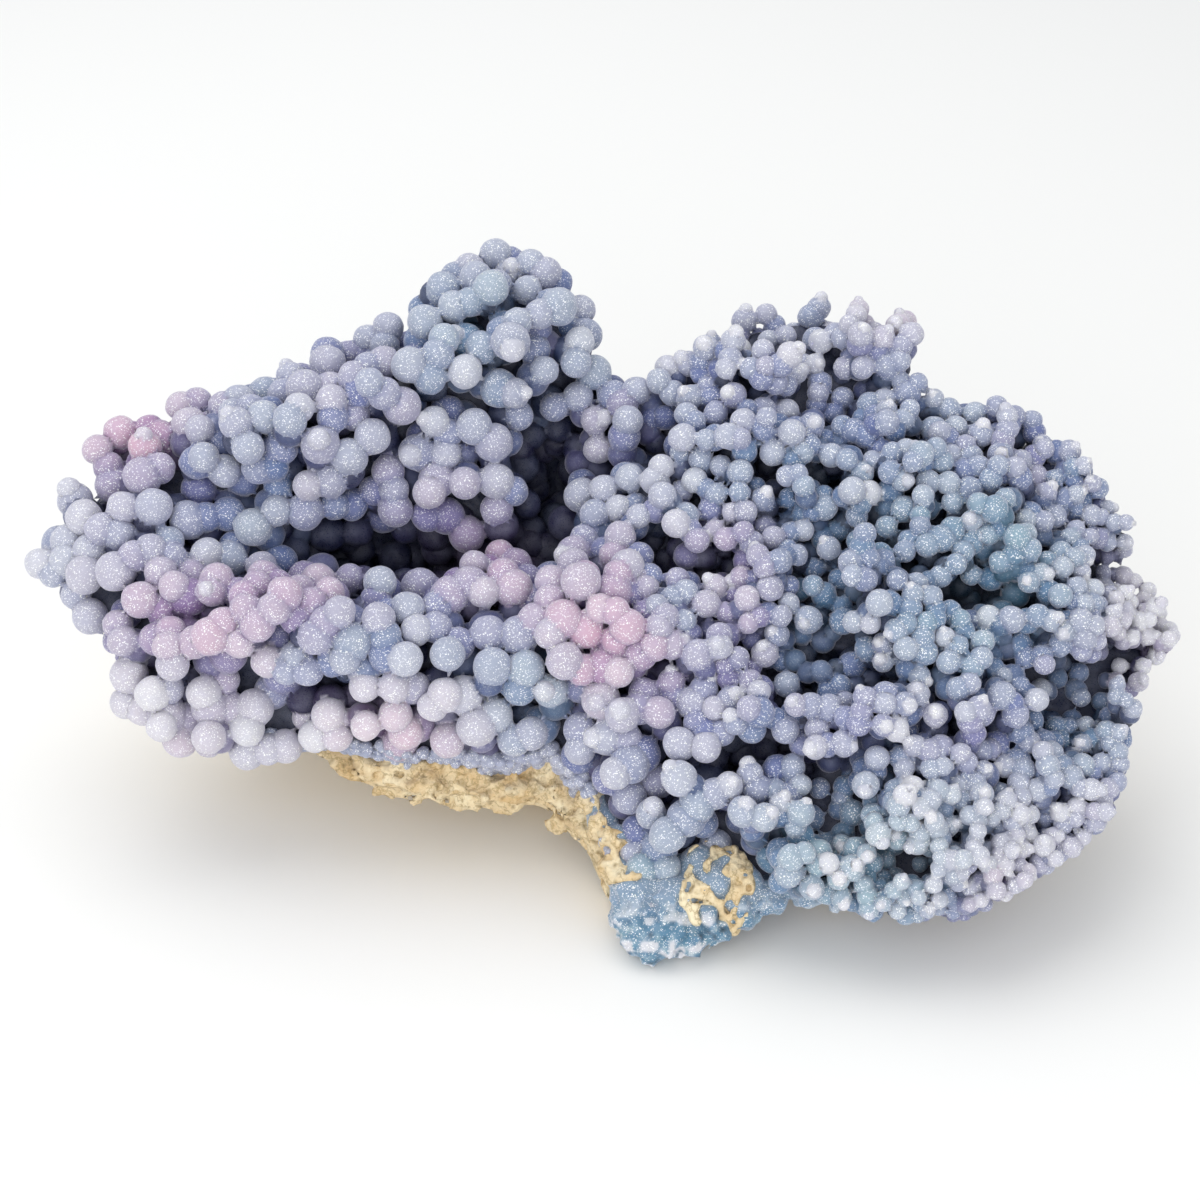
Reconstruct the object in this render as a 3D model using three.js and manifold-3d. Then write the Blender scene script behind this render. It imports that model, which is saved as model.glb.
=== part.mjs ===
// A grape agate specimen: round chalcedony berries grown in bunches on a thin crust, over tan host rock.
// Units are millimetres, +Z is up and the front of the specimen faces -Y.
import * as THREE from "three";
import { mergeVertices } from "three/addons/utils/BufferGeometryUtils.js";
import Module from "manifold-3d";

// Plate frame. The crust is a plate that leans back: a runs right, b up the slope, and n out of its face.
const plateTilt = THREE.MathUtils.degToRad(38);
const plateOrigin = new THREE.Vector3(0, -37, 0);
const alongA = new THREE.Vector3(1, 0, 0);
const alongB = new THREE.Vector3(0, Math.cos(plateTilt), Math.sin(plateTilt));
const alongN = new THREE.Vector3(0, -Math.sin(plateTilt), Math.cos(plateTilt));

// Outline of the plate, as [a, b], clockwise from the left tip.
const outline = [
  [-76, 53], [-66, 70], [-57, 74], [-45, 77], [-36, 83], [-26, 88], [-13, 97], [-3, 92], [-1, 82],
  [4, 76], [13, 82], [20, 88], [31, 90], [42, 86], [41, 76], [54, 73], [62, 66], [69, 54], [77, 42],
  [67, 26], [63, 16], [55, 10], [45, 5], [34, 5], [25, 8], [16, 5], [7, 0], [2, 6], [-1, 15],
  [-8, 21], [-23, 22], [-40, 26], [-62, 30], [-66, 40],
];
const plateCentre = [0, 46];

// Swells and hollows of the plate's face: centre a and b, height, half length, half width, turn in degrees.
const swells = {
  leftRidge: [-36, 70, 8, 24, 7, 22],
  leftPeak: [-13, 85, 7, 11, 9, 0],
  leftShelf: [-38, 41, 8, 26, 6.5, -6],
  leftTip: [-66, 52, 3, 8, 6, 0],
  leftHollow: [-26, 55, -9, 18, 4, -3],
  midHollow: [-4, 67, -8, 7, 9, 0],
  pinkRise: [-2, 42, 6, 9, 9, 0],
  rightDome: [38, 42, 8, 26, 28, 0],
  rightPeak: [28, 78, 5, 12, 9, 0],
  lowRight: [42, 10, 3.5, 24, 10, 0],
  frontTip: [7, 4, 1, 10, 8, 0],
};

// Open hollows between the bunches: centre a and b, half length, half width.
const hollows = [
  [-25, 53.5, 13, 4.5],
  [-6, 67, 6, 9],
  [-10, 54.5, 8, 4],
  [9, 50.5, 5, 3.5],
  [27, 62, 5, 3],
  [22, 24, 7, 3],
];
const hollowDepth = 5.5; // below the top of the grown mass

// Bunches of berries stand high along wandering lines and low between them. The lines are where a sum of
// crossing waves is near nought. The waves are long on the left, where the berries are large.
const waveCount = 9;
const longWave = { seed: 31, length: 17 };
const shortWave = { seed: 37, length: 12 };
const lineWidth = 0.85;
const bunchHeight = { least: 7, most: 10.5 };
const bedHeight = 4.4; // of the grown mass that the round heads of the bunches stand on
const bunchSeed = 7;
const bunchTries = 9000;
const leftSpacing = 7;
const rightSpacing = 6.3;
const leftHead = 4.1; // radius of the round head of a bunch on the left, and on the right
const rightHead = 3.6;
const headSink = 0.45; // share of its radius that a tall head's middle stands above the grown mass

// Drusy lumps on the front foot, the lowest cut flat where it touches the surface: a, b and radius.
const footLumps = [
  [4.5, 8.5, 3.2],
  [7, 2.2, 3],
  [9.5, 6, 3.2],
  [12.5, 9, 3],
];

const crustThickness = 3.5;
const crustInset = 4; // from the outline
const bunchInset = 4.5;
const jointGap = 0.3; // between the agate and the rock under it

// Host rock: thin at its rim, and a keel behind that it rests on.
const rockInset = 8;
// Where the rock shows in front of the crust: degrees round the plate, and how far each edge moves there.
const bareEdge = { from: -152, to: -86, rock: 7, crust: 4 };
const tipInset = { at: -78, width: 9, by: 11 };
const rimThickness = 5;
const restSpot = { x: 0, y: 10, halfLength: 36, halfWidth: 13 };
const flankHeights = [0.3, 0.6, 0.85]; // of the rings between the rim and the rest spot, from the top
const flankBulge = 2.5;
const rockRoughness = 1.6;

// Meshes of the plate's face: the cells of its top and of the joint with the rock, and the blocks under them.
const topCell = 6.5;
const jointCell = 10;
const faceBlock = { left: -80, right: 80, low: -10, high: 110, deep: -120, deeper: -130, tall: 40 };
const rockSteps = 44;

// Evenly spread numbers from 0 to 1, the same on every run.
function randomSource(seed) {
  let state = seed >>> 0;
  return () => {
    state = (state + 0x6d2b79f5) >>> 0;
    let t = Math.imul(state ^ (state >>> 15), 1 | state);
    t = (t + Math.imul(t ^ (t >>> 7), 61 | t)) ^ t;
    return ((t ^ (t >>> 14)) >>> 0) / 4294967296;
  };
}

function toWorld(a, b, n) {
  return plateOrigin
    .clone()
    .addScaledVector(alongA, a)
    .addScaledVector(alongB, b)
    .addScaledVector(alongN, n);
}

function relief(a, b) {
  let n = 0;
  for (const [ca, cb, height, halfLength, halfWidth, turn] of Object.values(swells)) {
    const angle = THREE.MathUtils.degToRad(turn);
    const c = Math.cos(angle);
    const s = Math.sin(angle);
    const x = ((a - ca) * c + (b - cb) * s) / halfLength;
    const y = ((b - cb) * c - (a - ca) * s) / halfWidth;
    n += height * Math.exp(-(x * x + y * y));
  }
  return n;
}

function angleOf(a, b) {
  return Math.atan2(b - plateCentre[1], a - plateCentre[0]);
}

function distanceOf(a, b) {
  return Math.hypot(a - plateCentre[0], b - plateCentre[1]);
}

// Distance from the plate's centre to its outline in each direction, in straight steps from point to point.
const outlinePolar = outline.map(([a, b]) => [angleOf(a, b), distanceOf(a, b)]).sort((p, q) => p[0] - q[0]);

function outlineReach(angle) {
  const wrapped = Math.atan2(Math.sin(angle), Math.cos(angle));
  const last = outlinePolar.length - 1;
  const points = [
    [outlinePolar[last][0] - 2 * Math.PI, outlinePolar[last][1]],
    ...outlinePolar,
    [outlinePolar[0][0] + 2 * Math.PI, outlinePolar[0][1]],
  ];
  const i = points.findIndex((p) => p[0] >= wrapped);
  const [p, q] = [points[i - 1], points[i]];
  return p[1] + ((q[1] - p[1]) * (wrapped - p[0])) / (q[0] - p[0]);
}

// How far inside the outline a point lies, measured along its line from the plate's centre.
function edgeRoom(a, b) {
  return outlineReach(angleOf(a, b)) - distanceOf(a, b);
}

// 1 along the edge where the rock shows in front of the crust, and 0 away from it.
function bareness(angle) {
  const degrees = THREE.MathUtils.radToDeg(Math.atan2(Math.sin(angle), Math.cos(angle)));
  const rise = THREE.MathUtils.smoothstep(degrees, bareEdge.from - 8, bareEdge.from + 4);
  return rise * (1 - THREE.MathUtils.smoothstep(degrees, bareEdge.to - 4, bareEdge.to + 4));
}

function rockReach(angle) {
  const degrees = THREE.MathUtils.radToDeg(Math.atan2(Math.sin(angle), Math.cos(angle)));
  const tip = Math.exp(-(((degrees - tipInset.at) / tipInset.width) ** 2));
  return outlineReach(angle) - rockInset + bareEdge.rock * bareness(angle) - tipInset.by * tip;
}

function rightness(a) {
  return THREE.MathUtils.smoothstep(a, -6, 16);
}

function makeWaves({ seed, length }) {
  const draw = randomSource(seed);
  return Array.from({ length: waveCount }, () => ({
    length: length * (0.8 + 0.5 * draw()),
    way: Math.PI * draw(),
    phase: 2 * Math.PI * draw(),
  }));
}

const longWaves = makeWaves(longWave);
const shortWaves = makeWaves(shortWave);

function waveSum(waves, a, b) {
  const heights = waves.map(({ length, way, phase }) =>
    Math.sin((2 * Math.PI * (a * Math.cos(way) + b * Math.sin(way))) / length + phase),
  );
  return heights.reduce((total, height) => total + height, 0) / Math.sqrt(waveCount / 2);
}

// 1 on the wandering lines and towards 0 between them.
function bunching(a, b) {
  const right = rightness(a);
  const sum = waveSum(longWaves, a, b) * (1 - right) + waveSum(shortWaves, a, b) * right;
  return Math.exp(-((sum / lineWidth) ** 2));
}

// 1 inside a hollow and 0 outside it.
function hollowness(a, b) {
  const depths = hollows.map(([ca, cb, halfLength, halfWidth]) => {
    const q = ((a - ca) / halfLength) ** 2 + ((b - cb) / halfWidth) ** 2;
    return 1 - THREE.MathUtils.smoothstep(q, 0.7, 1.6);
  });
  return Math.max(...depths);
}

// 0 at the outline and 1 well inside it.
function inland(room) {
  return THREE.MathUtils.smoothstep(room, bunchInset, 14);
}

function faceNormal(a, b) {
  const d = 0.5;
  return new THREE.Vector3(
    relief(a - d, b) - relief(a + d, b),
    relief(a, b - d) - relief(a, b + d),
    2 * d,
  ).normalize();
}

// Bunches stand off the face and lean outward near the outline. The way is turned into the world here.
function bunchWay(a, b, room) {
  const lean = 0.1 + 1.0 * (1 - THREE.MathUtils.smoothstep(room, 5, 16));
  const outward = new THREE.Vector3(a - plateCentre[0], b - plateCentre[1], 0).normalize();
  const way = faceNormal(a, b).multiply(new THREE.Vector3(0.55, 0.55, 1)).addScaledVector(outward, lean);
  return toWorld(way.x, way.y, way.z).sub(plateOrigin).normalize();
}

// Bunches scattered over the plate, no two nearer than their spacing, none in a hollow.
function growBunches() {
  const draw = randomSource(bunchSeed);
  const kept = [];
  for (let i = 0; i < bunchTries; i++) {
    const a = -76 + 152 * draw();
    const b = -2 + 102 * draw();
    const room = edgeRoom(a, b);
    const spacing = leftSpacing + (rightSpacing - leftSpacing) * rightness(a);
    if (room < bunchInset + bareEdge.crust * bareness(angleOf(a, b))) continue;
    if (hollowness(a, b) > 0.3) continue;
    if (kept.some((k) => (a - k.a) ** 2 + (b - k.b) ** 2 < spacing ** 2)) continue;
    kept.push({ a, b, room });
  }
  return kept.map(({ a, b, room }) => {
    const rise = (bunchHeight.most - bunchHeight.least) * bunching(a, b);
    return {
      root: toWorld(a, b, relief(a, b)),
      way: bunchWay(a, b, room),
      height: (bunchHeight.least + rise) * (0.7 + 0.3 * inland(room)),
      head: (leftHead + (rightHead - leftHead) * rightness(a)) * (0.85 + 0.3 * draw()),
      bed: bedHeight * inland(room),
    };
  });
}

const wasm = await Module();
wasm.setup();

// A closed three.js geometry as a solid.
function solidFrom(geometry) {
  const bare = geometry.clone();
  bare.deleteAttribute("normal");
  bare.deleteAttribute("uv");
  const merged = mergeVertices(bare, 1e-4);
  return new wasm.Manifold(
    new wasm.Mesh({
      numProp: 3,
      vertProperties: merged.attributes.position.array,
      triVerts: new Uint32Array(merged.index.array),
    }),
  );
}

function geometryFrom(solid) {
  const mesh = solid.getMesh();
  const geometry = new THREE.BufferGeometry();
  geometry.setAttribute("position", new THREE.BufferAttribute(new Float32Array(mesh.vertProperties), 3));
  geometry.setIndex(new THREE.BufferAttribute(new Uint32Array(mesh.triVerts), 1));
  const faceted = geometry.toNonIndexed();
  faceted.computeVertexNormals();
  return faceted;
}

// A closed skin over rings of points that share their steps, closed at each end by a point.
function ringedSolid(rings, firstPoint, lastPoint) {
  const steps = rings[0].length;
  const points = [firstPoint, ...rings.flat(), lastPoint];
  const index = [];
  const at = (ring, step) => 1 + ring * steps + (step % steps);
  for (let j = 0; j < steps; j++) {
    index.push(0, at(0, j), at(0, j + 1));
    index.push(points.length - 1, at(rings.length - 1, j + 1), at(rings.length - 1, j));
    for (let i = 0; i + 1 < rings.length; i++) {
      index.push(at(i, j), at(i + 1, j), at(i + 1, j + 1));
      index.push(at(i, j), at(i + 1, j + 1), at(i, j + 1));
    }
  }
  const geometry = new THREE.BufferGeometry().setFromPoints(points);
  geometry.setIndex(index);
  return solidFrom(geometry);
}

// A block under the plate's face: a box whose top follows the heights given, in cells of one size.
function faceSolid(cell, heightAt, floor) {
  const length = faceBlock.right - faceBlock.left;
  const width = faceBlock.high - faceBlock.low;
  const depth = faceBlock.tall - floor;
  const cells = [Math.round(length / cell), Math.round(width / cell)];
  const box = new THREE.BoxGeometry(length, width, depth, ...cells, 1);
  const position = box.attributes.position;
  for (let i = 0; i < position.count; i++) {
    const a = position.getX(i) + (faceBlock.left + faceBlock.right) / 2;
    const b = position.getY(i) + (faceBlock.low + faceBlock.high) / 2;
    const n = position.getZ(i) > 0 ? heightAt(a, b) : floor;
    const p = toWorld(a, b, n);
    position.setXYZ(i, p.x, p.y, p.z);
  }
  return solidFrom(box);
}

// The outline moved inwards and drawn out along the plate's normal.
function outlineSolid(insetAt) {
  const middle = new THREE.Vector2(...plateCentre);
  const corners = outline.map(([a, b]) => {
    const angle = angleOf(a, b);
    const reach = distanceOf(a, b) - insetAt(angle);
    return new THREE.Vector2(Math.cos(angle), Math.sin(angle)).multiplyScalar(reach).add(middle);
  });
  const depth = faceBlock.tall - faceBlock.deep;
  const prism = new THREE.ExtrudeGeometry(new THREE.Shape(corners), { depth, bevelEnabled: false });
  prism.translate(0, 0, faceBlock.deep).rotateX(plateTilt);
  prism.translate(plateOrigin.x, plateOrigin.y, plateOrigin.z);
  return solidFrom(prism);
}

function crustInsetAt(angle) {
  return crustInset + bareEdge.crust * bareness(angle);
}

function bedTop(a, b) {
  return relief(a, b) + bedHeight * inland(edgeRoom(a, b));
}

// The lowest of the face's heights about a point, so that the joint stays under the hollows too.
function lowFace(a, b) {
  const d = jointCell / 2;
  const near = [[0, 0], [d, 0], [-d, 0], [0, d], [0, -d]];
  return Math.min(...near.map(([da, db]) => relief(a + da, b + db)));
}

function belowJoint(depth) {
  return faceSolid(jointCell, (a, b) => lowFace(a, b) - depth, faceBlock.deeper);
}

// The crust with the grown mass on it, cut away in the hollows.
function bedSolid() {
  const grown = faceSolid(topCell, bedTop, faceBlock.deep).subtract(belowJoint(crustThickness));
  const hollowed = grown.subtract(wasm.Manifold.union(hollows.map(hollowSolid)));
  return hollowed.intersect(outlineSolid(crustInsetAt));
}

function hollowSolid([a, b, halfLength, halfWidth]) {
  const geometry = new THREE.OctahedronGeometry(1, 1).scale(halfLength, halfWidth, hollowDepth);
  return stand(geometry, toWorld(a, b, relief(a, b) + bedHeight), alongN);
}

// Puts a solid made along +Z at a place, with its +Z turned to the given way.
function stand(geometry, centre, way) {
  geometry.applyQuaternion(new THREE.Quaternion().setFromUnitVectors(new THREE.Vector3(0, 0, 1), way));
  geometry.translate(centre.x, centre.y, centre.z);
  return solidFrom(geometry);
}

function lump(centre, radius, way) {
  return stand(new THREE.OctahedronGeometry(radius, 1), centre, way);
}

// The head of a bunch, no higher than it can stand with its foot in the grown mass.
function bunchHead({ root, way, height, head, bed }) {
  const stand = Math.min(height - head, bed + headSink * head);
  return lump(root.clone().addScaledVector(way, stand), head, way);
}

const restPlane = solidFrom(new THREE.BoxGeometry(400, 400, 100).translate(0, 0, -50));

// The largest closed body of a solid, without the sealed pockets between its lumps.
function outerBody(solid) {
  return solid.decompose().sort((p, q) => q.volume() - p.volume())[0];
}

function agateSolid(bunches) {
  const heads = bunches.map(bunchHead);
  const foot = footLumps.map(([a, b, radius]) => lump(toWorld(a, b, relief(a, b)), radius, alongN));
  const fused = wasm.Manifold.union([bedSolid(), ...heads, ...foot]);
  return outerBody(fused.subtract(restPlane));
}

// Rings from above the plate's face down to the rest spot, with rough flanks that bulge between them.
function rockSolid() {
  const draw = randomSource(23);
  const angles = Array.from({ length: rockSteps }, (_, j) => (2 * Math.PI * j) / rockSteps);
  const rimAt = (angle, n) => {
    const a = plateCentre[0] + Math.cos(angle) * rockReach(angle);
    const b = plateCentre[1] + Math.sin(angle) * rockReach(angle);
    return toWorld(a, b, lowFace(a, b) + n);
  };
  const above = angles.map((angle) => rimAt(angle, faceBlock.tall / 2));
  const rim = angles.map((angle) => rimAt(angle, -crustThickness - rimThickness));
  const rest = angles.map((angle) => {
    const wobble = 1 + 0.12 * Math.sin(3 * angle + 1) + 0.06 * Math.sin(7 * angle);
    const x = restSpot.x + Math.cos(angle) * restSpot.halfLength * wobble;
    const y = restSpot.y + Math.sin(angle) * restSpot.halfWidth * wobble;
    return new THREE.Vector3(x, y, 0);
  });
  const flanks = flankHeights.map((t) =>
    rim.map((p, j) => {
      const outward = new THREE.Vector3(p.x - restSpot.x, p.y - restSpot.y, 0).normalize();
      const bulge = flankBulge * Math.sin(Math.PI * t) + rockRoughness * (2 * draw() - 1);
      return p.clone().lerp(rest[j], t).addScaledVector(outward, bulge);
    }),
  );
  const middle = toWorld(plateCentre[0], plateCentre[1], faceBlock.tall / 2);
  const foot = new THREE.Vector3(restSpot.x, restSpot.y, 0);
  const body = ringedSolid([above, rim, ...flanks, rest], middle, foot);
  return body.intersect(belowJoint(crustThickness + jointGap));
}

const agateMaterial = new THREE.MeshStandardMaterial({ color: 0xa9b4d8, roughness: 0.45, metalness: 0 });
const rockMaterial = new THREE.MeshStandardMaterial({ color: 0xd9c08c, roughness: 0.95, metalness: 0 });

function part(name, solid, material) {
  const mesh = new THREE.Mesh(geometryFrom(solid), material);
  mesh.name = name;
  return mesh;
}

const agate = agateSolid(growBunches());
const rock = outerBody(rockSolid().subtract(restPlane).subtract(agate));

const specimen = new THREE.Group();
specimen.add(part("agate_berries", agate, agateMaterial), part("host_rock", rock, rockMaterial));

// The origin is the middle of the specimen's footprint, on the surface it rests on.
const extent = new THREE.Box3().setFromObject(specimen);
specimen.position.set(-(extent.min.x + extent.max.x) / 2, -(extent.min.y + extent.max.y) / 2, -extent.min.z);

export default specimen;
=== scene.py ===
"""A grape agate specimen, dressed: round berries of chalcedony in two lobes, on a thin crust over tan host rock."""
import math
import random

import bpy
import numpy as np
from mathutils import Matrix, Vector


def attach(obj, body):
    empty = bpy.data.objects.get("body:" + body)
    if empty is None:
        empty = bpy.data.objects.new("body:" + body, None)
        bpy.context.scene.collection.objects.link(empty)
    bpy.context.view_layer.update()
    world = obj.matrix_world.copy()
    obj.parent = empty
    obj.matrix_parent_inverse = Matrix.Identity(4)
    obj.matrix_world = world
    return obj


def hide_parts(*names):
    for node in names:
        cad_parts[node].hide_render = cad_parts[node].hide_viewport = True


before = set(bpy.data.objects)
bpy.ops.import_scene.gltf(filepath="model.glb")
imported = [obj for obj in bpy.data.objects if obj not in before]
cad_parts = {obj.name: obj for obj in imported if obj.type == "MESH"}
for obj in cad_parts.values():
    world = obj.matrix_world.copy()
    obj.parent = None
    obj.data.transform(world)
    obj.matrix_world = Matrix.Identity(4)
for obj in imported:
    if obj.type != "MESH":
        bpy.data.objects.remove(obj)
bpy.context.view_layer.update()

# Lengths are in millimetres until a mesh is made, and then in metres.
METRE = 0.001
TURN = 2 * math.pi

# The plate's frame: a runs right, b up the slope of the plate, and n out of its face.
PLATE_TILT = math.radians(38)
PLATE_ORIGIN = np.array([-0.51, -36.33, 0.0])
ALONG_A = np.array([1.0, 0.0, 0.0])
ALONG_B = np.array([0.0, math.cos(PLATE_TILT), math.sin(PLATE_TILT)])
ALONG_N = np.array([0.0, -math.sin(PLATE_TILT), math.cos(PLATE_TILT)])

# Outline of the plate, as (a, b), clockwise from the left tip.
OUTLINE = [
    (-76, 53), (-66, 70), (-57, 74), (-45, 77), (-36, 83), (-26, 88), (-13, 97), (-3, 92), (-1, 82),
    (4, 76), (13, 82), (20, 88), (31, 90), (42, 86), (41, 76), (54, 73), (62, 66), (69, 54), (77, 42),
    (67, 26), (63, 16), (55, 10), (45, 5), (34, 5), (25, 8), (16, 5), (7, 0), (2, 6), (-1, 15),
    (-8, 21), (-23, 22), (-40, 26), (-62, 30), (-66, 40),
]
PLATE_CENTRE = (0.0, 46.0)

# Swells and hollows of the plate's face: centre a and b, height, half length, half width, turn in degrees.
SWELLS = {
    "left ridge": (-36, 70, 8, 24, 7, 22),
    "left peak": (-13, 85, 7, 11, 9, 0),
    "left shelf": (-38, 41, 8, 26, 6.5, -6),
    "left tip": (-66, 52, 3, 8, 6, 0),
    "left hollow": (-26, 55, -9, 18, 4, -3),
    "middle hollow": (-4, 67, -8, 7, 9, 0),
    "pink rise": (-2, 42, 6, 9, 9, 0),
    "right dome": (38, 42, 8, 26, 28, 0),
    "right peak": (28, 78, 5, 12, 9, 0),
    "low right": (42, 10, 3.5, 24, 10, 0),
    "front tip": (7, 4, 1, 10, 8, 0),
}

# Open hollows between the bunches: centre a and b, half length, half width.
HOLLOWS = [
    (-29, 54.5, 14, 6), (-7, 67, 6, 8), (-8, 56.5, 8, 4.5), (9, 50.5, 5, 3.5), (30, 61.5, 4.5, 3), (20, 25, 7, 3.5),
    (46, 43, 4, 2.5), (28, 37, 4, 2.5), (40, 48.5, 4, 2.5), (-36, 34, 3.5, 2.5),
]

# Bunches stand high along wandering lines, where a sum of crossing waves is near nought.
WAVE_COUNT = 9
LONG_WAVE = {"seed": 31, "length": 17.0}
SHORT_WAVE = {"seed": 37, "length": 12.0}
LINE_WIDTH = 0.85
CANOPY_LEAST = 5.0
CANOPY_MORE = 6.0
CLUMP = (9.0, 7.0)       # size of the clumps of berries on the left and on the right
CAVE = (7.5, 5.5, 7.0)   # size of the caves between the clumps, along a, b and n
CAVE_LIMIT = (0.40, 0.10)
CAVE_LOW, CAVE_HIGH = -16.0, 30.0
CAVE_FLOOR = 1.0         # below this height over the face there are none
OVERHANG = 1.5           # how far a high bunch may hang out over its lower neighbours

# Berries: their radius on the left, and how much smaller they are on the right, low down and at the foot.
LEFT_BERRY = 2.35
RIGHT_SHRINK = 0.72
EDGE_SHRINK = 0.42
FOOT = (9.0, 5.0, 9.0, 7.5)          # centre a and b, half length, half width of the drusy foot
STRIP = (0.5, 14.5, 6.0, 8.5)        # the same for the rock's strip beside it and the film on it
FILM = (15.0, 8.0, 8.0, 7.0)
FOOT_LIMIT = 0.44                    # no berry grows where the greatest of these three is more
SPUR = (72.0, 43.0, 7.0, 8.0)        # the same for the thin spurs on the right and at the left tip
TIP = (-72.0, 53.0, 7.0, 7.0)
FINGERS = (-65.0, 33.0, 7.0, 5.0)    # the same for the long fingers at the low left
# Where the growth stops short of the plate's outline: centre a and b, half length, half width, how far short.
BAYS = [(-70, 39, 8, 7, 9.0), (76, 31, 7, 9, 8.5), (48, 75, 6, 4, 4.5), (-1, 91, 5, 4, 2.5)]

# Host rock edge that shows in front of the crust, in degrees round the plate's centre.
BARE_EDGE = (-160, -148, -90, -82)

# The look-up grid over the plate.
MAP_STEP = 0.5
MAP_LOW = (-84.0, -10.0)
MAP_HIGH = (84.0, 108.0)


CORNERS = np.array([(i, j, k) for i in (0, 1) for j in (0, 1) for k in (0, 1)])


def smooth(low, high, x):
    """A smooth step: 0 below low, 1 above high, and 3t² - 2t³ between them."""
    t = np.clip((x - low) / (high - low), 0, 1)
    return t * t * (3 - 2 * t)


def wave_draws(seed):
    """Numbers from 0 to 1 by three rounds of multiply and shift, the ones that the CAD model's waves use."""
    keep = 0xFFFFFFFF
    state = seed
    while True:
        state = (state + 0x6D2B79F5) & keep
        t = ((state ^ (state >> 15)) * (1 | state)) & keep
        t = ((t + (((t ^ (t >> 7)) * (61 | t)) & keep)) & keep) ^ t
        yield ((t ^ (t >> 14)) & keep) / 4294967296


def face_height(a, b):
    """The plate's face: a sum of bell-shaped swells, each height * exp(-(x² + y²)) in its own turned axes."""
    n = np.zeros(np.broadcast(a, b).shape)
    for ca, cb, height, half_length, half_width, turn in SWELLS.values():
        c, s = math.cos(math.radians(turn)), math.sin(math.radians(turn))
        x = ((a - ca) * c + (b - cb) * s) / half_length
        y = ((b - cb) * c - (a - ca) * s) / half_width
        n = n + height * np.exp(-(x * x + y * y))
    return n


def outline_reach(angle):
    """Distance from the plate's centre to its outline, in straight steps of angle between the outline's points."""
    polar = sorted((math.atan2(b - PLATE_CENTRE[1], a - PLATE_CENTRE[0]),
                    math.hypot(b - PLATE_CENTRE[1], a - PLATE_CENTRE[0])) for a, b in OUTLINE)
    angles = [p[0] for p in polar]
    reaches = [p[1] for p in polar]
    return np.interp(angle, [angles[-1] - TURN, *angles, angles[0] + TURN], [reaches[-1], *reaches, reaches[0]])


def angle_of(a, b):
    return np.arctan2(b - PLATE_CENTRE[1], a - PLATE_CENTRE[0])


def edge_room(a, b):
    """How far inside the outline a point lies, along its line from the plate's centre."""
    return outline_reach(angle_of(a, b)) - np.hypot(a - PLATE_CENTRE[0], b - PLATE_CENTRE[1])


def bareness(a, b):
    """1 along the edge where the host rock shows in front of the crust, and 0 away from it."""
    degrees = np.degrees(angle_of(a, b))
    start, full, end, gone = BARE_EDGE
    return smooth(start, full, degrees) * (1 - smooth(end, gone, degrees))


def waves(seed, length):
    draws = wave_draws(seed)
    return [(length * (0.8 + 0.5 * next(draws)), math.pi * next(draws), TURN * next(draws))
            for _ in range(WAVE_COUNT)]


def wave_sum(crossing, a, b):
    total = sum(np.sin(TURN * (a * math.cos(way) + b * math.sin(way)) / length + phase)
                for length, way, phase in crossing)
    return total / math.sqrt(WAVE_COUNT / 2)


def bunching(a, b):
    """1 on the wandering lines, falling as exp(-(sum / width)²) to the sides of them."""
    right = smooth(-6, 16, a)
    total = wave_sum(waves(**LONG_WAVE), a, b) * (1 - right) + wave_sum(waves(**SHORT_WAVE), a, b) * right
    return np.exp(-(total / LINE_WIDTH) ** 2)


def lattice_noise(points, size, seed):
    """Noise from -1 to 1: random numbers at the corners of cubes of this size, joined by smooth steps."""
    table = np.random.default_rng(seed).uniform(-1, 1, (64, 64, 64))
    at = points / size
    corner = np.floor(at).astype(int)
    share = smooth(0, 1, at - corner)
    total = np.zeros(points.shape[:-1])
    for offset in CORNERS:
        weight = np.prod(np.where(offset, share, 1 - share), axis=-1)
        total += weight * table[tuple(np.moveaxis((corner + offset) % 64, -1, 0))]
    return total


def cell_distance(points, size, seed):
    """Distance, as a share of the size, to the nearest of random points, one in each cube of this size."""
    table = np.random.default_rng(seed).random((64, 64, 64, 3))
    at = points / size
    corner = np.floor(at).astype(int)
    nearest = np.full(points.shape[:-1], 9.0)
    for offset in np.ndindex(3, 3, 3):
        cube = corner + np.array(offset) - 1
        spot = cube + table[tuple(np.moveaxis(cube % 64, -1, 0))]
        nearest = np.minimum(nearest, np.linalg.norm(spot - at, axis=-1))
    return nearest


def bell(a, b, centre_a, centre_b, half_length, half_width):
    return np.exp(-(((a - centre_a) / half_length) ** 2 + ((b - centre_b) / half_width) ** 2))


def hollowness(a, b):
    """1 inside a hollow and 0 outside it."""
    depth = np.zeros(np.broadcast(a, b).shape)
    for ca, cb, half_length, half_width in HOLLOWS:
        q = ((a - ca) / half_length) ** 2 + ((b - cb) / half_width) ** 2
        depth = np.maximum(depth, 1 - smooth(0.6, 1.3, q))
    return depth


def clumping(a, b):
    """0 to 1: ridges where each of two noises is near nought, 1 - |noise| raised to a power."""
    points = np.stack([a, b, 0 * a], -1)
    right = smooth(-6, 16, a)
    left_noise, right_noise = (lattice_noise(points, size, seed=20 + k) for k, size in enumerate(CLUMP))
    noise = left_noise * (1 - right) + right_noise * right
    return (1 - np.abs(noise)) ** 3


def overhung(top):
    """The highest of the tops within OVERHANG of each point, less as far as they are off."""
    reach = int(OVERHANG / MAP_STEP)
    ceiling = top.copy()
    for i in range(-reach, reach + 1):
        for j in range(-reach, reach + 1):
            off = math.hypot(i, j) * MAP_STEP
            if off <= OVERHANG:
                ceiling = np.maximum(ceiling, np.roll(top, (i, j), (0, 1)) - 0.5 * off)
    return ceiling


HOLLOW_DEPTH = 6.0


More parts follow.
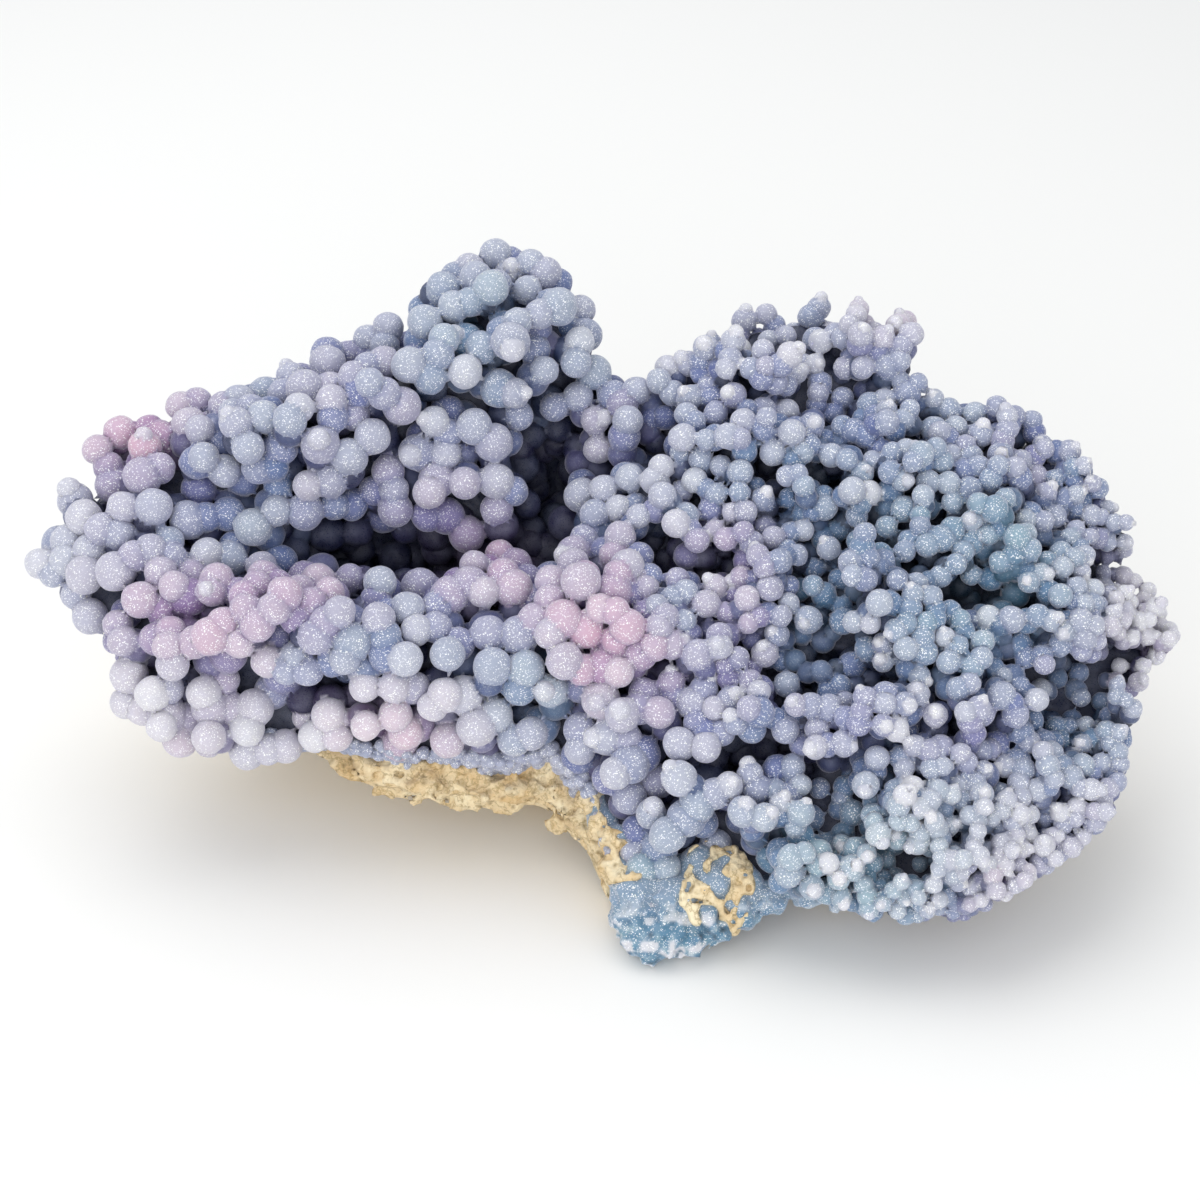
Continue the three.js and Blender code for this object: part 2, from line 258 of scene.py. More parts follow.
def crust_face(a, b):
    """The crust's face: the plate's face, sunk in the hollows."""
    return face_height(a, b) - HOLLOW_DEPTH * hollowness(a, b)


class PlateMap:
    """Values over the plate on a fine grid, so that the growth can look them up one berry at a time."""

    def __init__(self):
        a = np.arange(MAP_LOW[0], MAP_HIGH[0] + MAP_STEP / 2, MAP_STEP)
        b = np.arange(MAP_LOW[1], MAP_HIGH[1] + MAP_STEP / 2, MAP_STEP)
        a, b = np.meshgrid(a, b, indexing="ij")
        self.face = crust_face(a, b)
        self.slope_a, self.slope_b = np.gradient(self.face, MAP_STEP)
        self.room = edge_room(a, b)
        self.bare = bareness(a, b)
        self.hollow = hollowness(a, b)
        right = smooth(-6, 18, a)
        small = smooth(-6 + 10 * smooth(42, 28, b), 18 + 8 * smooth(42, 28, b), a)
        low = smooth(30, 8, b) * smooth(26, 40, a)
        far = smooth(54, 70, a)
        self.size = LEFT_BERRY - RIGHT_SHRINK * small - EDGE_SHRINK * np.maximum(low, far)
        self.foot = np.max([bell(a, b, *FOOT), bell(a, b, *STRIP), bell(a, b, *FILM)], axis=0)
        self.spread = 2.5 * bell(a, b, *FINGERS) - 7.0 * self.bare - zone_strength(BAYS, a, b)
        self.rim = smooth(5.5, 3.5, self.room) * (1 - self.bare)
        inland = smooth(4.5, 14, self.room)
        high = (0.45 * bunching(a, b) + 0.55 * clumping(a, b)) * (1 - 0.4 * (1 - right))
        canopy = (CANOPY_LEAST + 1.5 * right + CANOPY_MORE * (high + 0.25 * (1 - right))) * (0.85 + 0.15 * inland)
        canopy = canopy * (1 - 0.62 * self.hollow) * (1 - 0.45 * (bell(a, b, *SPUR) + bell(a, b, *TIP)))
        self.ceiling = overhung(self.face + canopy)

        deep = np.arange(CAVE_LOW, CAVE_HIGH, 1.0)
        points = np.stack(np.meshgrid(a[::2, 0], b[0, ::2], deep, indexing="ij"), -1)
        height = points[..., 2] - self.face[::2, ::2, None]
        limit = CAVE_LIMIT[0] + (CAVE_LIMIT[1] - CAVE_LIMIT[0]) * right[::2, ::2, None]
        self.cave = (lattice_noise(points / CAVE, 1.0, 61) > limit) & (height > CAVE_FLOOR)

    def in_cave(self, a, b, n):
        """Whether a point is in a cave, from the map of them at every millimetre."""
        place = (a - MAP_LOW[0], b - MAP_LOW[1], n - CAVE_LOW)
        return bool(self.cave[tuple(min(max(round(x), 0), most - 1) for x, most in zip(place, self.cave.shape))])

    def at(self, grid, a, b):
        i = min(max(int((a - MAP_LOW[0]) / MAP_STEP + 0.5), 0), grid.shape[0] - 1)
        j = min(max(int((b - MAP_LOW[1]) / MAP_STEP + 0.5), 0), grid.shape[1] - 1)
        return float(grid[i, j])


# Regions of the growth, each a mesh of its own, by the place of its middle in a and b, and its grid's cell.
REGIONS = {
    "berries_left_ridge": (-42, 72, 0.55),
    "berries_left_shelf": (-44, 38, 0.55),
    "berries_left_peak": (-10, 84, 0.55),
    "berries_middle": (-2, 46, 0.52),
    "berries_right_crown": (36, 76, 0.50),
    "berries_right_flank": (52, 46, 0.50),
    "berries_right_low": (30, 20, 0.50),
}

# Sowings: tries, how far apart seeds stand as a share of their radii, and the share of the canopy they grow to.
SOWINGS = [(5000, 1.30, 1.0), (9000, 0.80, 0.55)]
BUD_TRIES = 14
# Berries that sit round the foot: a, b, height over the face, radius.
FOOT_BERRIES = [
    (5.4, 11.2, 1.8, 2.2), (7.6, 14.0, 2.4, 2.3), (10.2, 15.8, 2.8, 2.0), (4.8, 16.4, 1.4, 2.1), (4.2, 13.6, 1.2, 1.8),
    (13.0, 17.0, 2.8, 2.0), (21.6, 12.4, 2.0, 2.0), (23.8, 10.0, 1.8, 1.8), (8.4, 11.4, 2.2, 1.9), (3.0, 20.0, 0.8, 2.0),
    (25.6, 12.6, 2.2, 1.8), (19.6, 14.6, 2.2, 1.9), (7.0, 17.4, 2.6, 2.1),
]
RIM_TRIES = 3500
RIM_DROP = 3.8          # how far down the crust's side berries grow
RIM_ROOM = 3.9          # how far inside the outline that side is
CELL = 4.0              # of the hash that finds a berry's neighbours
CLEARANCE = 0.80        # share of the two radii that berries of two chains keep between their middles
SISTERS = 0.62          # the same for two buds of one berry
JOIN = (0.48, 0.68)     # the same for a berry and the bud that grows from it
BUD_SHARES = (0.35, 0.85)    # draws below the first make one bud, below the second two, and above it three
ONWARD = 0.45           # how far a bud keeps to the way in which its parent grew
UPWARD = (0.80, -0.15)  # the pull away from the face, at the face and at the canopy
FENCE_LOW = (-77.0, -39.8, 0.3)      # no berry passes these planes in the row frame
FENCE_HIGH = (75.4, 39.8, 66.4)


def outside_fence(a, b, n, radius):
    place = PLATE_ORIGIN + a * ALONG_A + b * ALONG_B + n * ALONG_N
    return bool((place - radius < FENCE_LOW).any() or (place + radius > FENCE_HIGH).any())


class Growth:
    """Berries that bud from each other, none too near another, under a canopy over the plate's face."""

    def __init__(self, plate, seed):
        self.plate = plate
        self.draw = random.Random(seed)
        self.rows = []          # a, b, n, radius, region, buds, parent
        self.cells = {}

    def cell(self, a, b, n):
        return int(a // CELL), int(b // CELL), int(n // CELL)

    def crowded(self, a, b, n, radius, parent):
        ci, cj, ck = self.cell(a, b, n)
        for i in (ci - 1, ci, ci + 1):
            for j in (cj - 1, cj, cj + 1):
                for k in (ck - 1, ck, ck + 1):
                    for index in self.cells.get((i, j, k), ()):
                        other = self.rows[index]
                        share = SISTERS if other[6] == parent >= 0 else CLEARANCE
                        need = share * (radius + other[3])
                        gap = (a - other[0]) ** 2 + (b - other[1]) ** 2 + (n - other[2]) ** 2
                        if index != parent and gap < need * need:
                            return True
        return False

    def add(self, a, b, n, radius, region, parent=-1):
        self.cells.setdefault(self.cell(a, b, n), []).append(len(self.rows))
        self.rows.append([a, b, n, radius, region, 0, parent])

    def region_of(self, a, b):
        middles = list(REGIONS.values())
        return min(range(len(middles)), key=lambda k: (a - middles[k][0]) ** 2 + (b - middles[k][1]) ** 2)

    def sow(self, tries, spacing):
        """Seeds on the crust, each clear of the others there by the spacing times their radii."""
        plate, draw = self.plate, self.draw
        for _ in range(tries):
            a, b = draw.uniform(-80, 80), draw.uniform(-4, 100)
            if plate.at(plate.room, a, b) < 3.0 + 5.5 * plate.at(plate.bare, a, b):
                continue
            if plate.at(plate.foot, a, b) > FOOT_LIMIT:
                continue
            radius = plate.at(plate.size, a, b) * (0.82 + 0.30 * draw.random())
            n = plate.at(plate.face, a, b) + 0.2 * radius
            if not self.crowded(a, b, n, radius * spacing / CLEARANCE, -1):
                self.add(a, b, n, radius, self.region_of(a, b))

    def sow_rim(self):
        """Seeds down the side of the crust, all round but where the host rock shows."""
        plate, draw = self.plate, self.draw
        for _ in range(RIM_TRIES):
            angle = draw.uniform(-math.pi, math.pi)
            reach = float(outline_reach(angle)) - RIM_ROOM
            a, b = PLATE_CENTRE[0] + reach * math.cos(angle), PLATE_CENTRE[1] + reach * math.sin(angle)
            radius = plate.at(plate.size, a, b) * (0.70 + 0.25 * draw.random())
            n = plate.at(plate.face, a, b) - draw.uniform(0.5, RIM_DROP)
            if plate.at(plate.bare, a, b) > 0.05 or plate.at(plate.foot, a, b) > FOOT_LIMIT:
                continue
            if not self.crowded(a, b, n, radius, -1) and not outside_fence(a, b, n, radius):
                self.add(a, b, n, radius, self.region_of(a, b))

    def bud(self, index, share):
        """Buds of one berry: random ways, swung on along the chain and out over the plate's edge. Chains rise from
        the face and then run sideways under the canopy, of which this sowing reaches a share."""
        plate, draw = self.plate, self.draw
        a, b, n, radius, region, _, parent = self.rows[index]
        lean = 0.55 * float(1 - smooth(5, 16, plate.at(plate.room, a, b)))
        away = math.hypot(a - PLATE_CENTRE[0], b - PLATE_CENTRE[1]) + 1e-6
        came = np.subtract((a, b, n), self.rows[parent][:3] if parent >= 0 else (a, b, n - 1.0))
        came = ONWARD * came / np.linalg.norm(came)
        start, room_above = plate.at(plate.face, a, b), plate.at(plate.ceiling, a, b) - plate.at(plate.face, a, b)
        risen = min(max((n + radius - start) / (share * room_above + 0.1), 0), 1)
        pull = UPWARD[0] + (UPWARD[1] - UPWARD[0]) * risen
        wanted = 1 + sum(draw.random() > limit for limit in BUD_SHARES)
        for _ in range(BUD_TRIES):
            if self.rows[index][5] >= wanted:
                break
            z = draw.uniform(-1, 1)
            phi = draw.uniform(0, TURN)
            side = math.sqrt(1 - z * z)
            x = side * math.cos(phi) - 0.8 * pull * plate.at(plate.slope_a, a, b)
            y = side * math.sin(phi) - 0.8 * pull * plate.at(plate.slope_b, a, b)
            x += lean * (a - PLATE_CENTRE[0]) / away + came[0]
            y += lean * (b - PLATE_CENTRE[1]) / away + came[1]
            z = (1 - 0.4 * risen) * z + pull + came[2]
            length = math.sqrt(x * x + y * y + z * z)
            size = plate.at(plate.size, a, b) * (0.84 + 0.28 * draw.random())
            step = draw.uniform(*JOIN) * (radius + size) / length
            at = (a + x * step, b + y * step, n + z * step)
            if plate.at(plate.room, *at[:2]) < size - 1.0 - plate.at(plate.spread, *at[:2]):
                continue
            floor_there = plate.at(plate.face, *at[:2])
            if at[2] + size > floor_there + share * (plate.at(plate.ceiling, *at[:2]) - floor_there) + 1.0:
                continue
            if plate.at(plate.foot, *at[:2]) > FOOT_LIMIT:
                continue
            if at[2] < floor_there - 1.0 - RIM_DROP * plate.at(plate.rim, *at[:2]) or plate.in_cave(*at):
                continue
            if self.crowded(*at, size, index) or outside_fence(*at, size):
                continue
            self.add(*at, size, region, index)
            self.rows[index][5] += 1

    def grow(self):
        for a, b, height, radius in FOOT_BERRIES:
            self.add(a, b, height + float(face_height(a, b)), radius, self.region_of(a, b))
        index = 0
        for tries, spacing, share in SOWINGS:
            self.sow(tries, spacing)
            while index < len(self.rows):
                self.bud(index, share)
                index += 1
        self.sow_rim()
        return np.array(self.rows)


def to_row_frame(points):
    """Plate coordinates to the row frame: the origin plus a, b and n along their three axes."""
    return PLATE_ORIGIN + points[:, :1] * ALONG_A + points[:, 1:2] * ALONG_B + points[:, 2:3] * ALONG_N


def berry_field(berries, cell):
    """Distance to the nearest berry's surface on a grid, |p - c| - r, negative inside it. Returns the distances,
    those to the second nearest, the nearest berry of each grid point and the grid's low corner."""
    low = (berries[:, :3] - berries[:, 3:4]).min(0) - 2 * cell
    high = (berries[:, :3] + berries[:, 3:4]).max(0) + 2 * cell
    shape = np.ceil((high - low) / cell).astype(int) + 1
    nearest = np.full(shape, 1e3, np.float32)
    second = nearest.copy()
    owner = np.zeros(shape, np.int32)
    for index, (*centre, radius) in enumerate(berries[:, :4]):
        first = np.maximum(np.floor((np.array(centre) - radius - low) / cell).astype(int) - 2, 0)
        last = np.minimum(np.ceil((np.array(centre) + radius - low) / cell).astype(int) + 3, shape)
        x, y, z = (low[k] + cell * np.arange(first[k], last[k]) - centre[k] for k in range(3))
        distance = np.sqrt(x[:, None, None] ** 2 + y[None, :, None] ** 2 + z[None, None, :] ** 2) - radius
        block = tuple(slice(first[k], last[k]) for k in range(3))
        second[block] = np.minimum(second[block], np.maximum(nearest[block], distance))
        closer = distance < nearest[block]
        nearest[block][closer] = distance[closer]
        owner[block][closer] = index
    return nearest, second, owner, low


def skin_of(field, low, cell):
    """Surface nets: one vertex in each cell that the surface crosses, at the mean of the points where its edges
    are cut, and one quad round each grid edge whose ends are on two sides. Returns vertices, quads and cells."""
    inside = field < 0
    cell_shape = np.array(field.shape) - 1
    count = np.zeros(cell_shape, np.int8)
    for i, j, k in CORNERS:
        count += inside[i:i + cell_shape[0], j:j + cell_shape[1], k:k + cell_shape[2]]
    cells = np.argwhere((count > 0) & (count < 8))
    number = np.full(cell_shape, -1, np.int32)
    number[tuple(cells.T)] = np.arange(len(cells))
    total = np.zeros((len(cells), 3))
    hits = np.zeros(len(cells))
    for axis in range(3):
        step = np.eye(3, dtype=int)[axis]
        for corner in CORNERS[CORNERS[:, axis] == 0]:
            start = cells + corner
            value = field[tuple(start.T)]
            beyond = field[tuple((start + step).T)]
            cut = (value < 0) != (beyond < 0)
            share = np.where(cut, value / np.where(cut, value - beyond, 1), 0)
            total += cut[:, None] * (corner + share[:, None] * step)
            hits += cut
    points = low + cell * (cells + total / hits[:, None])
    quads = []
    for axis in range(3):
        across, along = np.eye(3, dtype=int)[(axis + 1) % 3], np.eye(3, dtype=int)[(axis + 2) % 3]
        near = np.moveaxis(inside, axis, 0)[:-1]
        far = np.moveaxis(inside, axis, 0)[1:]
        edges = np.argwhere(np.moveaxis(near != far, 0, axis))
        ring = [number[tuple((edges - offset).T)] for offset in (across + along, along, 0 * along, across)]
        ring = np.stack(ring, 1)
        leaving = inside[tuple(edges.T)]
        quads.append(np.where(leaving[:, None], ring, ring[:, ::-1]))
    return points, np.concatenate(quads), cells


def unit(vectors):
    return vectors / np.maximum(np.linalg.norm(vectors, axis=-1, keepdims=True), 1e-9)


def fit_to_berries(points, cells, owner, berries, low, cell):
    """Moves each vertex onto its berry's sphere, c + r (p - c) / |p - c|. Where the circle in which two spheres
    meet passes through the vertex's own cell, the vertex moves onto that circle, so that the crease is sharp.
    The circle is at t = (D² + r² - s²) / 2D along the line of the middles, and its radius is (r² - t²) ** 0.5."""
    row = np.arange(len(points))
    near = np.stack([owner[tuple((cells + corner).T)] for corner in CORNERS], 1)
    gap = np.linalg.norm(points[:, None] - berries[near, :3], axis=2) - berries[near, 3]
    first = near[row, gap.argmin(1)]
    gap = np.where(near == first[:, None], np.inf, gap)
    second = near[row, gap.argmin(1)]
    middle, radius = berries[first, :3], berries[first, 3]
    onto = middle + radius[:, None] * unit(points - middle)
    line = berries[second, :3] - middle
    length = np.maximum(np.linalg.norm(line, axis=1), 1e-6)
    way = line / length[:, None]
    along = (length ** 2 + radius ** 2 - berries[second, 3] ** 2) / (2 * length)
    square = radius ** 2 - along ** 2
    flat = points - middle - ((points - middle) * way).sum(1)[:, None] * way
    crease = middle + along[:, None] * way + np.sqrt(np.maximum(square, 0))[:, None] * unit(flat)
    place = (crease - low) / cell - cells
    meets = (second != first) & (square > 0) & (place > -0.1).all(1) & (place < 1.1).all(1)
    return np.where(meets[:, None], crease, onto), first


def sharpen(mesh, face_owner):
    """Marks the edges between faces of two berries as sharp."""
    edge = np.empty(len(mesh.loops), np.int32)
    mesh.loops.foreach_get("edge_index", edge)
    owner = np.repeat(face_owner, 4)
    least = np.full(len(mesh.edges), len(mesh.polygons))
    most = np.full(len(mesh.edges), -1)
    np.minimum.at(least, edge, owner)
    np.maximum.at(most, edge, owner)
    layer = mesh.attributes.new("sharp_edge", "BOOLEAN", "EDGE")
    layer.data.foreach_set("value", least != most)


def mesh_from(name, points, faces, smooth_faces=True):
    """A mesh object at the origin from points in millimetres and faces with equal numbers of corners."""
    mesh = bpy.data.meshes.new(name)
    sides = faces.shape[1]
    mesh.vertices.add(len(points))
    mesh.vertices.foreach_set("co", (points * METRE).ravel())
    mesh.loops.add(faces.size)
    mesh.loops.foreach_set("vertex_index", faces.ravel().astype(np.int32))
    mesh.polygons.add(len(faces))
    mesh.polygons.foreach_set("loop_start", np.arange(len(faces), dtype=np.int32) * sides)
    mesh.polygons.foreach_set("use_smooth", np.full(len(faces), smooth_faces))
    mesh.update(calc_edges=True)
    piece = bpy.data.objects.new(name, mesh)
    bpy.context.scene.collection.objects.link(piece)
    return piece


# Colour zones of the growth: centre a and b, half length, half width, strength.
PINK_ZONES = [
    (-62, 69, 7, 6, 1.0), (-53, 40, 11, 9, 0.75), (-14, 53, 9, 7, 0.9), (0, 41, 8, 9, 0.9),
    (-30, 30, 13, 5, 0.9), (69, 44, 7, 10, 0.7), (47, 9, 6, 5, 0.7), (38, 86, 5, 5, 0.8), (-40, 46, 14, 6, 0.5),
    (-58, 32, 14, 7, 0.6), (15, 50, 7, 8, 0.45), (22, 44, 6, 5, 0.35),
]
TEAL_ZONES = [
    (44, 50, 22, 18, 0.85), (32, 12, 14, 9, 0.9), (-16, 84, 13, 12, 0.6), (8, 5, 9, 8, 1.0), (-6, 34, 8, 6, 0.4),
    (60, 30, 10, 14, 0.5),
]
PALE_ZONES = [
    (-60, 31, 12, 6, 0.7), (-40, 30, 22, 5, 0.6), (-72, 53, 7, 7, 0.5), (71, 44, 7, 9, 1.0), (50, 13, 16, 8, 0.45),
    (-18, 31, 3, 3, 1.0), (8, 62, 5, 4, 0.5), (36, 84, 5, 4, 0.6), (26, 80, 6, 5, 0.4),
]


def zone_strength(zones, a, b):
    """The greatest of the zones' bells, each from 0 far off to its strength in its middle."""
    return np.max([strength * bell(a, b, *place) for *place, strength in zones], axis=0)


SIGHT = 16.0            # how far a berry looks out for others that shade it


def openness(berries):
    """The share of ways out of the plate along which a berry sees no other within SIGHT of it.
    A berry at v from it stands in the way w where v.w > 0 and |v|² - (v.w)² < (0.85 r)²."""
    tilt, turn = np.radians([20, 45, 65]), np.radians(np.arange(0, 360, 60))
    ways = [(math.sin(t) * math.cos(p + t), math.sin(t) * math.sin(p + t), math.cos(t)) for t in tilt for p in turn]
    ways = np.array([(0, 0, 1), *ways], np.float32)
    place = berries[:, :3].astype(np.float32)
    close = (0.85 * berries[:, 3].astype(np.float32)) ** 2
    free = np.zeros(len(berries))
    for first in range(0, len(berries), 400):
        ahead = place[None] - place[first:first + 400, None]
        square = (ahead ** 2).sum(2)
        near = (square < SIGHT ** 2) & (square > 0)
        for way in ways:
            along = ahead @ way
            shaded = near & (along > 0) & (square - along ** 2 < close)
            free[first:first + 400] += ~shaded.any(1)
    return free / len(ways)


def berry_tints(berries, seed):
    """Each berry's pink, teal, pale and tone, from its zone, its openness and a draw of its own. The tone is painted
    shade and light: darker where other berries shade it or where it sits low in a hollow, lighter or darker in a few
    zones.
    """
    draw = np.random.default_rng(seed)
    a, b = berries[:, 0], berries[:, 1]
    open_share = openness(berries)
    # Painted shade: a berry that others shade is painted darker.
    unshaded = smooth(0.0, 0.75, open_share) ** 0.8
    patchy = lattice_noise(berries[:, :3], 9.0, 71)
    pink = zone_strength(PINK_ZONES, a, b) + 0.25 * patchy + 0.08 * draw.standard_normal(len(a))
    teal = zone_strength(TEAL_ZONES, a, b) - 0.28 * patchy + 0.10 * draw.standard_normal(len(a))
    tip = (berries[:, 5] == 0) & (open_share > 0.5)
    # Painted light: open berries are painted a little paler, on top of the pale zones and the pale tips.
    pale = 0.10 * smooth(0.4, 1, open_share) + zone_strength(PALE_ZONES, a, b)
    right = smooth(-10, 20, a)
    pale = pale + np.where(tip, 0.35 * draw.random(len(a)) ** 2, 0)
    pale = pale + np.where(tip & (draw.random(len(a)) < 0.04), 0.15 + 0.3 * right, 0)
    # Painted shade: berries low in a hollow are painted darker.
    lift = berries[:, 2] - face_height(a, b)
    sunk = hollowness(a, b) * smooth(8, 1, lift)
    # Painted light and shade by zone: lighter on the low front parts and in the middle, darker over the right flank and
    # a patch on the left.
    painted_light_zones = 0.25 * np.max([bell(a, b, 36, 12, 26, 11), bell(a, b, -45, 30, 26, 7), bell(a, b, 2, 40, 9, 12)], axis=0)
    painted_light_zones = painted_light_zones - 0.14 * bell(a, b, 38, 50, 28, 20) - 0.06 * bell(a, b, -20, 38, 12, 6)
    tone = (unshaded * (0.80 + 0.22 * draw.random(len(a))) + painted_light_zones) * (1 - 0.85 * sunk)
    return np.clip(np.stack([pink, teal, pale, tone], 1), 0, 1)


CAP_CHANCE = (0.12, 0.60, 0.85)     # on the left, on the right, and low and far on the right


def add_caps(berries, tints, seed):
    """Small pale caps on the tips, set out from the parent berry's side of each, mostly on the right."""
    draw = np.random.default_rng(seed)
    a, b = berries[:, 0], berries[:, 1]
    right = smooth(0, 20, a)
    small = np.maximum(smooth(34, 12, b) * right, smooth(54, 68, a))
    left_chance, right_chance, small_chance = CAP_CHANCE
    chance = left_chance + (right_chance - left_chance) * right + (small_chance - right_chance) * small
    tip = (berries[:, 5] == 0) & (berries[:, 6] >= 0) & (tints[:, 3] > 0.8)
    chosen = np.flatnonzero(tip & (draw.random(len(a)) < chance))
    parents = berries[berries[chosen, 6].astype(int), :3]
    way = unit(unit(berries[chosen, :3] - parents) + 0.4 * draw.standard_normal((len(chosen), 3)) + (0, 0, 0.5))
    caps = berries[chosen].copy()
    caps[:, :3] += way * (0.80 * berries[chosen, 3:4])
    caps[:, 3] *= 0.46 + 0.20 * draw.random(len(chosen))
    inside = [not outside_fence(*cap[:4]) for cap in caps]
    cap_tints = tints[chosen].copy()
    cap_tints[:, :2] *= 0.5
    cap_tints[:, 2] = (0.55 + 0.45 * draw.random(len(chosen))) * (0.7 + 0.3 * right[chosen])
    # Caps take the tone of the fully lit step of the painted light.
    cap_tints[:, 3] = 1.1
    return np.concatenate([berries, caps[inside]]), np.concatenate([tints, cap_tints[inside]])


def srgb(code, alpha=1.0):
    """A hex colour as linear light: each channel by the sRGB curve."""
    channels = [int(code[i:i + 2], 16) / 255 for i in (1, 3, 5)]
    linear = [c / 12.92 if c <= 0.04045 else ((c + 0.055) / 1.055) ** 2.4 for c in channels]
    return (*linear, alpha)


def add(tree, kind, settings=None, **links):
    """Adds a node. Settings are its own properties, or a number or colour for an input named with a leading
    capital. Links join an input, by name with _ for a space, or by number as i0, to another node's output."""
    node = tree.nodes.new(kind)
    for key, value in (settings or {}).items():
        if isinstance(key, int) or key[0].isupper():
            node.inputs[key].default_value = value
        else:
            setattr(node, key, value)
    for key, source in links.items():
        target = node.inputs[int(key[1:])] if key[0] == "i" and key[1:].isdigit() else node.inputs[key.replace("_", " ")]
        tree.links.new(source, target)
    return node


def new_material(name):
    material = bpy.data.materials.new(name)
    material.use_nodes = True
    material.node_tree.nodes.clear()
    return material, material.node_tree


def chalcedony(name, sheen):
    """Chalcedony berries under a skin of fine drusy quartz: they look sugared, glow a little at their edges and
    sparkle in painted white points. The grains are drawn at about 0.12 mm, as the real ones are."""
    material, tree = new_material(name)
    place = add(tree, "ShaderNodeTexCoord").outputs["Object"]
    painted = add(tree, "ShaderNodeAttribute", {"attribute_name": "colour"})
    cloud = add(tree, "ShaderNodeTexNoise", {"Scale": 420.0, "Detail": 3.0}, Vector=place).outputs["Fac"]
    grains = add(tree, "ShaderNodeTexVoronoi", {"Scale": 8500.0}, Vector=place)
    veil = add(tree, "ShaderNodeMapRange", {"From Min": 0.35, "From Max": 0.75, "To Max": 0.16}, Value=cloud)
    body = add(tree, "ShaderNodeMix", {"data_type": "RGBA", 7: srgb("#C8CCDD")}, i0=veil.outputs[0],
               i6=painted.outputs["Color"])
    # Painted glints: a few grains are painted white in the base colour and made glossier, fewer where the colour is
    # painted in deep shade.
    pick = add(tree, "ShaderNodeSeparateColor", Color=grains.outputs["Color"]).outputs[0]
    painted_glint = add(tree, "ShaderNodeMapRange", {"From Min": 0.87, "From Max": 0.93}, Value=pick).outputs[0]
    share = add(tree, "ShaderNodeMath", {"operation": "MULTIPLY"}, i0=painted_glint, i1=painted.outputs["Alpha"]).outputs[0]
    body = add(tree, "ShaderNodeMix", {"data_type": "RGBA", 7: srgb("#FFFFFF")}, i0=share, i6=body.outputs[2])
    bump = add(tree, "ShaderNodeBump", {"Strength": 0.5, "Distance": 0.0001}, Height=grains.outputs["Distance"])
    rough = add(tree, "ShaderNodeMapRange", {"To Min": 0.50, "To Max": 0.18}, Value=painted_glint)
    shader = add(tree, "ShaderNodeBsdfPrincipled", {
        "IOR": 1.54, "Subsurface Weight": 0.6, "Subsurface Radius": (1.0, 1.0, 1.2), "Subsurface Scale": 0.0009,
        "Sheen Weight": sheen, "Sheen Roughness": 0.3, "Sheen Tint": srgb("#F4F2FF"),
    }, Base_Color=body.outputs[2], Roughness=rough.outputs[0], Normal=bump.outputs[0])
    add(tree, "ShaderNodeOutputMaterial", Surface=shader.outputs[0])
    return material


def host_rock():
    """Tan, porous host rock, broken and weathered: dull, with pale ridges and olive-brown pits."""
    material, tree = new_material("porous_tan_rock")
    place = add(tree, "ShaderNodeTexCoord").outputs["Object"]
    coarse = add(tree, "ShaderNodeTexNoise", {"Scale": 160.0, "Detail": 6.0, "Roughness": 0.65}, Vector=place)
    fine = add(tree, "ShaderNodeTexNoise", {"Scale": 1400.0, "Detail": 4.0}, Vector=place)
    pits = add(tree, "ShaderNodeTexVoronoi", {"Scale": 600.0, "feature": "SMOOTH_F1"}, Vector=place)
    patches = add(tree, "ShaderNodeMapRange", {"From Min": 0.35, "From Max": 0.65}, Value=coarse.outputs["Fac"])
    specks = add(tree, "ShaderNodeMapRange", {"From Min": 0.55, "From Max": 0.75, "To Max": 0.45},
                 Value=fine.outputs["Fac"])
    wander = add(tree, "ShaderNodeTexNoise", {"Scale": 330.0, "Detail": 5.0, "Roughness": 0.6}, Vector=place)
    off = add(tree, "ShaderNodeMath", {"operation": "SUBTRACT", 1: 0.5}, i0=wander.outputs["Fac"])
    off = add(tree, "ShaderNodeMath", {"operation": "ABSOLUTE"}, i0=off.outputs[0])
    cracks = add(tree, "ShaderNodeMapRange", {"From Min": 0.03, "From Max": 0.0, "To Max": 0.55}, Value=off.outputs[0])
    holes = add(tree, "ShaderNodeMapRange", {"From Min": 0.26, "From Max": 0.02, "To Max": 0.7},
                Value=pits.outputs["Distance"])
    body = add(tree, "ShaderNodeMix", {"data_type": "RGBA", 6: srgb("#D2B280"), 7: srgb("#F4E6C4")},
               i0=patches.outputs[0])
    body = add(tree, "ShaderNodeMix", {"data_type": "RGBA", 7: srgb("#A88C50")}, i0=specks.outputs[0],
               i6=body.outputs[2])
    body = add(tree, "ShaderNodeMix", {"data_type": "RGBA", 7: srgb("#8C7440")}, i0=cracks.outputs[0],
               i6=body.outputs[2])
    body = add(tree, "ShaderNodeMix", {"data_type": "RGBA", 7: srgb("#6A5528")}, i0=holes.outputs[0],
               i6=body.outputs[2])
    height = add(tree, "ShaderNodeMath", {"operation": "ADD"}, i0=pits.outputs["Distance"], i1=fine.outputs["Fac"])
    bump = add(tree, "ShaderNodeBump", {"Strength": 0.9, "Distance": 0.0005}, Height=height.outputs[0])
    shader = add(tree, "ShaderNodeBsdfPrincipled", {"Roughness": 0.93, "IOR": 1.5},
                 Base_Color=body.outputs[2], Normal=bump.outputs[0])
    add(tree, "ShaderNodeOutputMaterial", Surface=shader.outputs[0])
    return material


# Colours of the chalcedony, as violet, pink and teal, in three steps of painted shade and light: deep in shade, half
# shaded, and lit out in the open. The foot and the fine edge use the same steps for a tone of their own.
SHADE_AND_TONE_STEPS = [("#161A3C", "#30203F", "#0D2B3C"), ("#6470A2", "#94709E", "#4D7E9A"), ("#A3A5BA", "#CFA9BC", "#90ABB7")]
PALE = "#D6D5D9"


